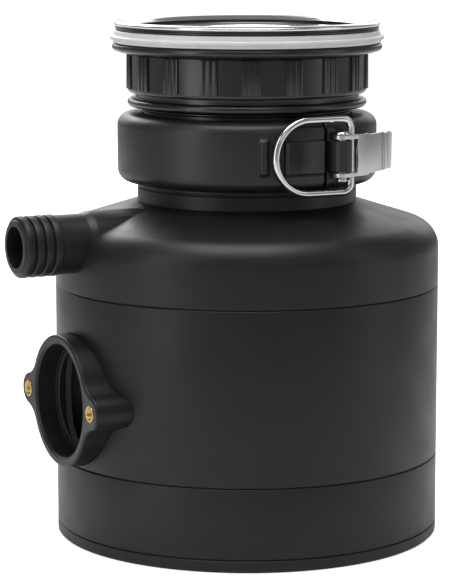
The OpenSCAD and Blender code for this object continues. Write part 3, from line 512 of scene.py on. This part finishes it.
clampSize = {
    "lip": 45.4, "bulge": 55.8, "groove": 50.5, "grooveUp": 3.7, "grooveTall": 14.8,
    "rounding": 9.0, "split": 8.0,
    "gap": 0.7, "knuckle": 4.3, "pin": 2.0, "pinReach": 60.5, "knuckleUp": 3.5, "knuckleTall": 6.5,
    "play": 0.3,
    "hookAngle": -3.2, "hookHalf": 9.1, "hookFace": 58.2, "hookTall": 13.5, "ribAngle": -20.8, "ribHalf": 1.7,
}
latchSize = {
    "pinAngle": 13.0, "pinReach": 60.0, "pin": 1.6, "head": 3.3, "barrel": 4.2, "barrelTall": 12.9,
    "barAngle": 18.5, "barReach": 59.5, "wire": 1.5, "rootAngle": 23.0, "panelAngle": 19.6, "stepAngle": 26.5,
    "tipAngle": 45.0, "tipStart": 39.5,
    "plate": 61.3, "sheet": 1.5, "tall": 17.5, "cheek": 1.8, "curl": 1.8,
    "ringTall": 30.6, "ringLong": 35.3, "ringCorner": 4.0,
}
clampBase = base("clamp_body")
clampTop = top("clamp_body")
clampMiddle = (clampBase + clampTop) / 2


# Half of the collar, swept round from the split or from the hinge
def makeCollarHalf(name, start):
    s = clampSize
    low = clampBase + s["grooveUp"]
    high = low + s["grooveTall"]
    outline = [
        (s["lip"], clampBase, 0.4), (s["bulge"], clampBase, s["rounding"]),
        (s["bulge"], clampTop, s["rounding"]),
        (s["lip"], clampTop, 0.4), (s["lip"], high), (s["groove"], high), (s["groove"], low), (s["lip"], low),
    ]
    piece = turned(name, outline, 100, 9, start - 90 + s["gap"], 180 - 2 * s["gap"])
    softEdges(piece, 0.35, 3, 60)
    return closeEdges(piece)


# A block with rounded outer corners, standing out from the collar towards -Y before it is turned to its angle
def addBlock(piece, angle, left, right, face, inner, low, high, rounding=0.6, edge=0.4):
    outline = [(left, inner), (left, -face, rounding), (right, -face, rounding), (right, inner)]
    block = raised("block", outline, low, high)
    softEdges(block, edge, 2, 50)
    place(block, facing(angle))
    return combine(piece, block, "UNION")


def addKnuckle(piece, side, low, high):
    s = clampSize
    hinge = s["split"] + 180
    web = sorted((-side * 0.9, -side * s["knuckle"]))
    addBlock(piece, hinge, web[0], web[1], s["pinReach"], -s["groove"] - 1.5, low + 0.4, high - 0.4, 0.1, 0.1)
    outline = [(0, low), (s["knuckle"], low, 0.5), (s["knuckle"], high, 0.5), (0, high)]
    barrel = turned("barrel", outline, 40, 3)
    place(barrel, move=around(hinge, s["pinReach"]))
    return combine(piece, barrel, "UNION")


def drillPin(piece, angle, reach, radius):
    bpy.ops.mesh.primitive_cylinder_add(vertices=54, radius=radius * mm, depth=80 * mm)
    drill = bpy.context.object
    place(drill, move=around(angle, reach, clampMiddle))
    return combine(piece, drill, "DIFFERENCE")


def makeClampBody():
    s, t = clampSize, latchSize
    piece = makeCollarHalf("clampBody", s["split"])
    low = clampBase + s["knuckleUp"]
    high = clampTop - s["knuckleUp"]
    addKnuckle(piece, 1, low, low + s["knuckleTall"])
    addKnuckle(piece, 1, high - s["knuckleTall"], high)
    half = t["barrelTall"] / 2
    addBlock(piece, t["pinAngle"], -t["barrel"], t["barrel"], t["pinReach"] + t["barrel"], -s["bulge"] + 4,
             clampMiddle - half, clampMiddle + half, t["barrel"] - 0.1, 0.3)
    drillPin(piece, s["split"] + 180, s["pinReach"], s["pin"])
    drillPin(piece, t["pinAngle"], t["pinReach"], t["pin"])
    return settle(piece, "root", "clamp_plastic", finishes["clamp_plastic"], "clamp_body")


def makeClampArm():
    s = clampSize
    piece = makeCollarHalf("clampArm", s["split"] + 180)
    ends = s["knuckleUp"] + s["knuckleTall"] + s["play"]
    addKnuckle(piece, -1, clampBase + ends, clampTop - ends)
    low = clampMiddle - s["hookTall"] / 2
    high = clampMiddle + s["hookTall"] / 2
    inner = -s["bulge"] + 3
    addBlock(piece, s["ribAngle"], -s["ribHalf"], s["ribHalf"], s["bulge"] + 1.6, inner, low, high, 1.2, 0.6)
    addBlock(piece, s["hookAngle"], -s["hookHalf"], s["hookHalf"], s["hookFace"] - 0.6, inner, low, high)
    lipEnd = -s["hookHalf"] + 1.6
    addBlock(piece, s["hookAngle"], -s["hookHalf"], lipEnd, s["hookFace"], inner, low, high, 0.4, 0.3)
    drillPin(piece, s["split"] + 180, s["pinReach"], s["pin"] + 0.05)
    return settle(piece, "clamp_swing", "clamp_plastic", finishes["clamp_plastic"], "clamp_arm")


def makeLatchLever():
    t = latchSize
    low, high = clampMiddle - t["tall"] / 2, clampMiddle + t["tall"] / 2
    reach = t["plate"]
    eye = 3.6
    spots = [
        around(t["pinAngle"] - 3.4, t["pinReach"] - eye), around(t["pinAngle"] - 3.4, t["pinReach"] + eye),
        around(t["barAngle"], t["barReach"] + 3.2), around(t["rootAngle"] + 1, reach + t["sheet"]),
        around(t["rootAngle"] + 1, reach + 0.2), around(t["barAngle"] + 1.5, t["barReach"] - 1.6),
        around(t["barAngle"] - 2.5, t["barReach"] - 2.6),
    ]
    roundings = (eye, eye, 6, 0.3, 0.3, 2.5, 3)
    outline = [(p.x, p.y, r) for p, r in zip(spots, roundings)]
    parts = [
        softEdges(raised("cheek", outline, low, low + t["cheek"], 8), 0.25, 2, 50),
        softEdges(raised("cheek", outline, high - t["cheek"], high, 8), 0.25, 2, 50),
    ]
    panels = ((t["panelAngle"], t["stepAngle"], 0.0, 0.0), (t["stepAngle"] - 0.6, t["tipAngle"], 0.55, -0.4))
    for start, end, inset, step in panels:
        section = [
            (reach + step, low + inset), (reach + t["sheet"] + step, low + inset, 0.3),
            (reach + t["sheet"] + step, high - inset, 0.3), (reach + step, high - inset),
        ]
        parts.append(softEdges(turned("panel", section, 24, 3, start - 90, end - start), 0.2, 2, 50))
    tip = [
        (reach - 0.3, low + 0.7), (reach + t["sheet"] + 0.5, low + 0.7, 0.9),
        (reach + t["sheet"] + 0.5, high - 0.7, 0.9), (reach - 0.3, high - 0.7),
    ]
    tipSweep = t["tipAngle"] - t["tipStart"]
    parts.append(softEdges(turned("tip", tip, 24, 3, t["tipStart"] - 90, tipSweep), 0.4, 3, 50))
    roll = [(0, low + 0.7), (t["curl"], low + 0.7, 1.2), (t["curl"], high - 0.7, 1.2), (0, high - 0.7)]
    curl = turned("curl", roll, 28, 5)
    parts.append(place(curl, move=around(t["tipAngle"], reach + 1.1)))
    piece = parts[0]
    for part in parts[1:]:
        combine(piece, part, "UNION")
    piece.name = "latchLever"
    drillPin(piece, t["pinAngle"], t["pinReach"], t["pin"] + 0.05)
    drillPin(piece, t["barAngle"], t["barReach"], t["wire"] + 0.05)
    return settle(piece, "lever", "satin_steel", finishes["satin_steel"], "latch_lever")


# The bail's wire starts as a ring of points on its straight bar, and is drawn and swung round to meet itself
def makeBailRing():
    t = latchSize
    bar = around(t["barAngle"], t["barReach"], clampMiddle)
    half, corner = t["ringTall"] / 2, t["ringCorner"]
    straight = t["ringLong"] - half - corner
    clearSelection()
    bpy.ops.mesh.primitive_circle_add(vertices=28, radius=t["wire"] * mm, location=(0, 0, 0))
    piece = bpy.context.object
    piece.name = "bailRing"
    bpy.ops.object.mode_set(mode="EDIT")
    bpy.ops.mesh.select_all(action="SELECT")
    bpy.ops.transform.translate(value=(bar - Vector((0, 0, half - corner))) * mm)

    def draw(x, z):
        bpy.ops.mesh.extrude_region_move(TRANSFORM_OT_translate={"value": Vector((x, 0, z)) * mm})

    def swing(angle, x, z, steps):
        centre = (bar + Vector((x, 0, z))) * mm
        bpy.ops.mesh.spin(steps=steps, angle=math.radians(angle), center=centre, axis=(0, 1, 0))

    draw(0, 2 * (half - corner))
    swing(90, -corner, half - corner, 12)
    draw(-straight, 0)
    swing(180, -corner - straight, 0, 48)
    draw(straight, 0)
    swing(90, -corner, corner - half, 12)
    closeUp(piece)
    return settle(piece, "bail", "satin_steel", finishes["polished_steel"], "bail_ring")


def makeLatchPin():
    t = latchSize
    half = t["tall"] / 2 + 0.2
    low, high = clampMiddle - half, clampMiddle + half
    outline = [
        (0, low - 1.6), (2.6, low - 1.6, 0.4), (1.9, low, 0.1), (t["pin"], low), (t["pin"], high),
        (t["head"], high, 0.2),
        (t["head"] - 0.3, high + 1.1, 0.8), (1.2, high + 1.6, 1.5), (0, high + 1.6),
    ]
    piece = turned("latchPin", outline, 48, 5)
    place(piece, move=around(t["pinAngle"], t["pinReach"]))
    return settle(piece, "root", "satin_steel", finishes["polished_steel"], "latch_pin")


def makeClampHingePin():
    s = clampSize
    low = clampBase + s["knuckleUp"]
    high = clampTop - s["knuckleUp"]
    head = s["pin"] + 1.3
    outline = [
        (0, low - 1.5), (head, low - 1.5, 0.5), (head, low, 0.2), (s["pin"], low), (s["pin"], high),
        (head, high, 0.2),
        (head, high + 1.5, 0.8), (0, high + 1.5),
    ]
    piece = turned("clampHingePin", outline, 48, 4)
    place(piece, move=around(s["split"] + 180, s["pinReach"]))
    return settle(piece, "root", "satin_steel", finishes["polished_steel"], "clamp_hinge_pin")


makeClampBody()
makeClampArm()
makeLatchLever()
makeBailRing()
makeLatchPin()
makeClampHingePin()
print("clamp made")


# The casing, with its ports

casingSize = {
    "wall": 2.6, "seam": 0.5, "shoulder": 12.0, "slope": 17.5, "shoulderUp": 16.0, "neckIn": 44.15,
}
barbSize = {
    "up": 21.5, "tube": 12.5, "rib": 13.0, "valley": 11.5, "pitch": 4.2, "ribs": 4, "bore": 8.8, "root": 52.0,
    "flare": 0.9, "seat": 74.0, "seatWider": 2.35, "boreStart": 30, "boreEnd": 130,
}
chamberSize = {"foot": 9, "wide": 68.3, "shoulder": 64.8, "throat": 47.3, "neck": 44.3}
outletSize = {
    "up": 64.0, "face": 90.0, "ring": 28.0, "ear": 6.8, "hollow": 12.0, "spacing": 63.5,
    "bore": 24.0, "depth": 9.5,
    "duct": 21.5, "well": 80.0, "insert": 3.5, "insertBore": 2.5, "insertLong": 9.0, "proud": 0.4,
}
baseSize = {"screws": 4, "screwAt": 74.5, "post": 5.0, "postTall": 16.0, "screw": 2.0, "glandSeat": 14.0}
casing = rim("middle_shell")


# A standing shape's Z becomes -X, the ports' side
def toPort(piece, up):
    return place(piece, portTurn, (0, 0, up))


def shellTube(name, low, high):
    s = casingSize
    outline = [
        (casing - s["wall"], low), (casing - s["seam"], low, 0.15), (casing, low + s["seam"], 0.25),
        (casing, high - s["seam"], 0.25), (casing - s["seam"], high, 0.15), (casing - s["wall"], high),
    ]
    return turned(name, outline, 240, 2)


def makeBarb():
    b = barbSize
    mouth = -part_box("upper_shell")[0].x / mm
    first = mouth - b["ribs"] * b["pitch"]
    outline = [
        (0, b["root"]), (b["tube"] + b["flare"], b["root"]), (b["tube"] + b["flare"], casing - 7, 1),
        (b["tube"], casing - 4, 3), (b["tube"], first, 0.3),
    ]
    for i in range(b["ribs"]):
        start = first + i * b["pitch"]
        end = start + b["pitch"] - 0.75
        outline += [(b["rib"], start + 0.1, 1.1), (b["rib"] - 0.1, end - 0.3, 1.3), (b["valley"], end, 0.2)]
        if i < b["ribs"] - 1:
            outline.append((b["valley"], start + b["pitch"], 0.1))
    outline = outline[:-1] + [(b["valley"], mouth - 0.7), (b["valley"] - 0.6, mouth, 0.4), (0, mouth)]
    return toPort(turned("barb", outline, 120, 4), top("middle_shell") + b["up"])


def makeUpperShell():
    s, b = casingSize, barbSize
    low = base("upper_shell")
    slope = math.radians(s["slope"])
    shoulder = low + s["shoulderUp"]
    turn = s["shoulder"]
    endR = casing - turn * (1 - math.sin(slope))
    endZ = shoulder + turn * math.cos(slope)
    domeTop = endZ + (endR - rim("neck_ring")) * math.tan(slope)
    peak = endZ + (endR - casing) * math.tan(slope)
    wall = s["wall"]
    drop = wall / math.cos(slope)
    outline = [
        (casing - wall, low), (casing - s["seam"], low, 0.15), (casing, low + s["seam"], 0.25),
        (casing, peak, turn),
        (rim("neck_ring"), domeTop), (s["neckIn"], domeTop),
        (s["neckIn"], endZ + (endR - s["neckIn"]) * math.tan(slope) - drop),
        (casing - wall, peak + wall * math.tan(slope) - drop, 9.4),
    ]
    piece = turned("upperShell", outline, 240, 14)
    combine(piece, makeBarb(), "UNION")
    up = low + b["up"]
    c = chamberSize
    chamber = [
        (0, low - c["foot"]), (c["wide"], low - c["foot"]), (c["wide"], up + 0.5), (c["shoulder"], up + 4.8),
        (c["throat"], domeTop - 4.2), (c["neck"], domeTop - 2.2), (0, domeTop),
    ]
    combine(piece, turned("chamberSpace", chamber, 120), "DIFFERENCE")
    seat, start, end = b["bore"] + b["seatWider"], b["boreStart"], b["boreEnd"]
    bore = [(0, start), (seat, start), (seat, b["seat"]), (b["bore"], b["seat"]), (b["bore"], end), (0, end)]
    combine(piece, toPort(turned("boreSpace", bore, 116), up), "DIFFERENCE")
    closeEdges(piece)
    return settle(piece, "root", "casing_plastic", finishes["casing_plastic"], "upper_shell")


def arcPoints(x, y, radius, start, end, steps):
    turns = [math.radians(start + (end - start) * i / steps) for i in range(steps + 1)]
    return [(x + radius * math.cos(a), y + radius * math.sin(a)) for a in turns]


# The discharge flange: a ring, a hollow fillet to each ear, and the ear, drawn as a quarter and mirrored
def outletOutline(grow):
    s = outletSize
    ring, ear, hollow = s["ring"] + grow, s["ear"] + grow, s["hollow"] - grow
    earAt = s["spacing"] / 2
    a, b = ring + hollow, ear + hollow
    toRing = math.degrees(math.acos((a * a + earAt * earAt - b * b) / (2 * a * earAt)))
    centre = (a * math.sin(math.radians(toRing)), a * math.cos(math.radians(toRing)))
    toEar = math.degrees(math.atan2(centre[0], centre[1] - earAt))
    quarter = arcPoints(0, 0, ring, 0, 90 - toRing, 14)
    quarter += arcPoints(*centre, hollow, 270 - toRing, 270 - toEar, 10)[1:]
    quarter += arcPoints(0, earAt, ear, 90 - toEar, 90, 9)[1:]
    half = quarter + [(-x, y) for x, y in reversed(quarter[:-1])]
    return half + [(-x, -y) for x, y in half[1:-1]]


def makeMiddleShell():
    s = outletSize
    piece = shellTube("middleShell", base("middle_shell"), top("middle_shell"))
    window = raised("window", outletOutline(0.3), 40, 100)
    combine(piece, toPort(window, s["up"]), "DIFFERENCE")
    closeEdges(piece)
    return settle(piece, "root", "casing_plastic", finishes["casing_plastic"], "middle_shell")


def makeDischargeOutlet():
    s = outletSize
    flange = raised("dischargeOutlet", outletOutline(0), 60, s["face"])
    softEdges(flange, 0.9, 3, 50)
    piece = toPort(flange, s["up"])
    bpy.ops.mesh.primitive_cylinder_add(vertices=240, radius=s["well"] * mm, depth=160 * mm,
                                        location=(0, 0, s["up"] * mm))
    well = bpy.context.object
    bpy.ops.object.transform_apply(location=True, rotation=True, scale=True)
    combine(piece, well, "DIFFERENCE")
    seat = s["face"] - s["depth"]
    bore = [
        (0, 50), (s["duct"], 50), (s["duct"], seat, 0.8), (s["bore"], seat, 0.3),
        (s["bore"], s["face"] - 1.0, 0.4),
        (s["bore"] + 1.0, s["face"] + 0.01), (s["bore"] + 1.0, 100), (0, 100),
    ]
    combine(piece, toPort(turned("bore", bore, 160, 3), s["up"]), "DIFFERENCE")
    for side in (1, -1):
        bpy.ops.mesh.primitive_cylinder_add(vertices=48, radius=s["insert"] * mm,
                                            depth=2 * s["insertLong"] * mm)
        hole = bpy.context.object
        place(hole, portTurn, (-s["face"], side * s["spacing"] / 2, s["up"]))
        combine(piece, hole, "DIFFERENCE")
    closeEdges(piece)
    return settle(piece, "root", "casing_plastic", finishes["casing_plastic"], "discharge_outlet")


def makeOutletInserts():
    s = outletSize
    low, high = s["face"] - s["insertLong"], s["face"] + s["proud"]
    outline = [
        (s["insertBore"], low), (s["insert"], low), (s["insert"], high, 0.3),
        (s["insertBore"] + 0.35, high, 0.1),
    ]
    z = high - 0.35
    while z > low + 1:
        outline += [(s["insertBore"], z - 0.1), (s["insertBore"] + 0.35, z - 0.35)]
        z -= 0.7
    first = turned("outletInserts", outline, 48, 3)
    place(first, portTurn, (0, s["spacing"] / 2, s["up"]))
    second = copied(first, "otherInsert")
    place(second, move=(0, -s["spacing"], 0))
    piece = joined([first, second], "outletInserts")
    return settle(piece, "root", "insert_brass", finishes["insert_brass"], "outlet_inserts")


def screwPost(angle, reach, radius, low, high):
    outline = [(0, low), (radius, low), (radius, high, 0.4), (0, high)]
    return place(turned("post", outline, 40, 3), move=around(angle, reach))


# The lower shell, with a square seat for the cord's gland and a post for each base screw
def makeLowerShell():
    s = baseSize
    low, high = base("lower_shell"), top("lower_shell")
    piece = shellTube("lowerShell", low, high)
    for i in range(s["screws"]):
        angle = 45 + 90 * i
        wall = -casing + 2.4
        strip = [(-1.5, wall), (1.5, wall), (1.5, -s["screwAt"]), (-1.5, -s["screwAt"])]
        web = raised("web", strip, low, low + s["postTall"])
        combine(piece, place(web, facing(angle)), "UNION")
        combine(piece, screwPost(angle, s["screwAt"], s["post"], low, low + s["postTall"]), "UNION")
        hole = screwPost(angle, s["screwAt"], s["screw"], low - 1, low + s["postTall"] - 2)
        combine(piece, hole, "DIFFERENCE")
    half = s["glandSeat"] / 2
    middle = (low + high) / 2
    outline = [(-half, casing - 8, 0), (half, casing - 8, 0), (half, casing + 4, 0), (-half, casing + 4, 0)]
    combine(piece, raised("seat", outline, middle - half, middle + half), "DIFFERENCE")
    closeEdges(piece)
    return settle(piece, "root", "casing_plastic", finishes["casing_plastic"], "lower_shell")


def makeNeckRing():
    low, high, outer = base("neck_ring"), top("neck_ring"), rim("neck_ring")
    inner = 44
    groove = high - 2.2
    outline = [
        (inner, low), (outer, low), (outer, groove - 0.3, 0.25), (outer - 0.5, groove, 0.1),
        (outer - 0.5, groove + 0.4, 0.1),
        (outer, groove + 0.7, 0.25), (outer, high, 0.5), (inner, high),
    ]
    piece = turned("neckRing", outline, 200, 3)
    return settle(piece, "root", "casing_plastic", finishes["casing_plastic"], "neck_ring")


makeUpperShell()
makeMiddleShell()
makeLowerShell()
makeDischargeOutlet()
makeOutletInserts()
makeNeckRing()
print("casing made")


# Light, camera and floor

viewSize = {"azimuth": -28, "away": 1.1, "height": 0.277, "pitch": -8.93, "yaw": 0.37, "lens": 157.8}
lightSize = {
    "left": {"azimuth": -78, "away": 0.75, "height": 0.35, "wide": 0.25, "tall": 0.9, "power": 2.1},
    "right": {"azimuth": 48, "away": 0.8, "height": 0.4, "wide": 0.3, "tall": 0.9, "power": 1.0},
    "front": {"azimuth": -12, "away": 1.3, "height": 0.75, "wide": 0.5, "tall": 0.4, "power": 0.8},
    "back": {"azimuth": 156, "away": 1.6, "height": 0.75, "wide": 2.4, "tall": 0.9, "power": 10},
    "backLeft": {"azimuth": 178, "away": 1.3, "height": 1.0, "wide": 0.8, "tall": 0.6, "power": 8},
    "top": {"azimuth": -40, "away": 0.15, "height": 0.9, "wide": 0.6, "tall": 0.6, "power": 7},
}


def addCamera():
    s = viewSize
    a = math.radians(s["azimuth"])
    heading = a + math.radians(s["yaw"])
    spot = Vector((s["away"] * math.sin(a), -s["away"] * math.cos(a), s["height"]))
    pitch = math.radians(s["pitch"])
    aim = Vector((-math.sin(heading) * math.cos(pitch), math.cos(heading) * math.cos(pitch), math.sin(pitch)))
    bpy.ops.object.camera_add(location=spot, rotation=aim.to_track_quat("-Z", "Y").to_euler())
    camera = bpy.context.object
    camera.name = "camera"
    camera.data.lens = s["lens"]
    camera.data.sensor_width = 36
    camera.data.dof.use_dof = False
    scene.camera = camera


def addSoftbox(name, azimuth, away, height, wide, tall, power):
    a = math.radians(azimuth)
    spot = Vector((away * math.sin(a), -away * math.cos(a), height))
    aim = Vector((0, 0, 0.11)) - spot
    bpy.ops.object.light_add(type="AREA", location=spot, rotation=aim.to_track_quat("-Z", "Y").to_euler())
    lamp = bpy.context.object
    lamp.name = name
    lamp.data.shape = "RECTANGLE"
    lamp.data.size = wide
    lamp.data.size_y = tall
    lamp.data.energy = power


# The floor is nearly white to the camera, and throws less light than that on the object
floorGlow = {"seen": 0.75, "cast": 0.12}


def addFloor():
    bpy.ops.mesh.primitive_plane_add(size=60, location=(0, 0, -0.0003))
    floor = bpy.context.object
    floor.name = "floor"
    paper, tree, shader, coords = newFinish("paper")
    shade = spread(tree, addNoise(tree, coords, 3, 2), (0.93,) * 3, (0.95,) * 3)
    tree.links.new(shade, shader.inputs["Base Color"])
    shader.inputs["Roughness"].default_value = 0.9
    shader.inputs["Emission Color"].default_value = (1, 1, 1, 1)
    path = tree.nodes.new("ShaderNodeLightPath")
    glow = tree.nodes.new("ShaderNodeMapRange")
    glow.inputs["To Min"].default_value = floorGlow["cast"]
    glow.inputs["To Max"].default_value = floorGlow["seen"]
    tree.links.new(path.outputs["Is Camera Ray"], glow.inputs["Value"])
    tree.links.new(glow.outputs["Result"], shader.inputs["Emission Strength"])
    floor.data.materials.append(paper)


# The backdrop is white to the camera, and lights the object only softly
def addStudioWorld(strength):
    world = bpy.data.worlds.new("studio")
    world.use_nodes = True
    tree = world.node_tree
    soft = tree.nodes["Background"]
    soft.inputs["Color"].default_value = (0.96, 0.98, 1, 1)
    soft.inputs["Strength"].default_value = strength
    backdrop = tree.nodes.new("ShaderNodeBackground")
    backdrop.inputs["Color"].default_value = (1, 1, 1, 1)
    path = tree.nodes.new("ShaderNodeLightPath")
    mix = tree.nodes.new("ShaderNodeMixShader")
    tree.links.new(path.outputs["Is Camera Ray"], mix.inputs[0])
    tree.links.new(soft.outputs[0], mix.inputs[1])
    tree.links.new(backdrop.outputs[0], mix.inputs[2])
    tree.links.new(mix.outputs[0], tree.nodes["World Output"].inputs["Surface"])
    scene.world = world


addCamera()
for name, size in lightSize.items():
    addSoftbox(name + "Softbox", **size)
addFloor()
addStudioWorld(0.28)
scene.view_settings.view_transform = "Standard"
print("studio set")
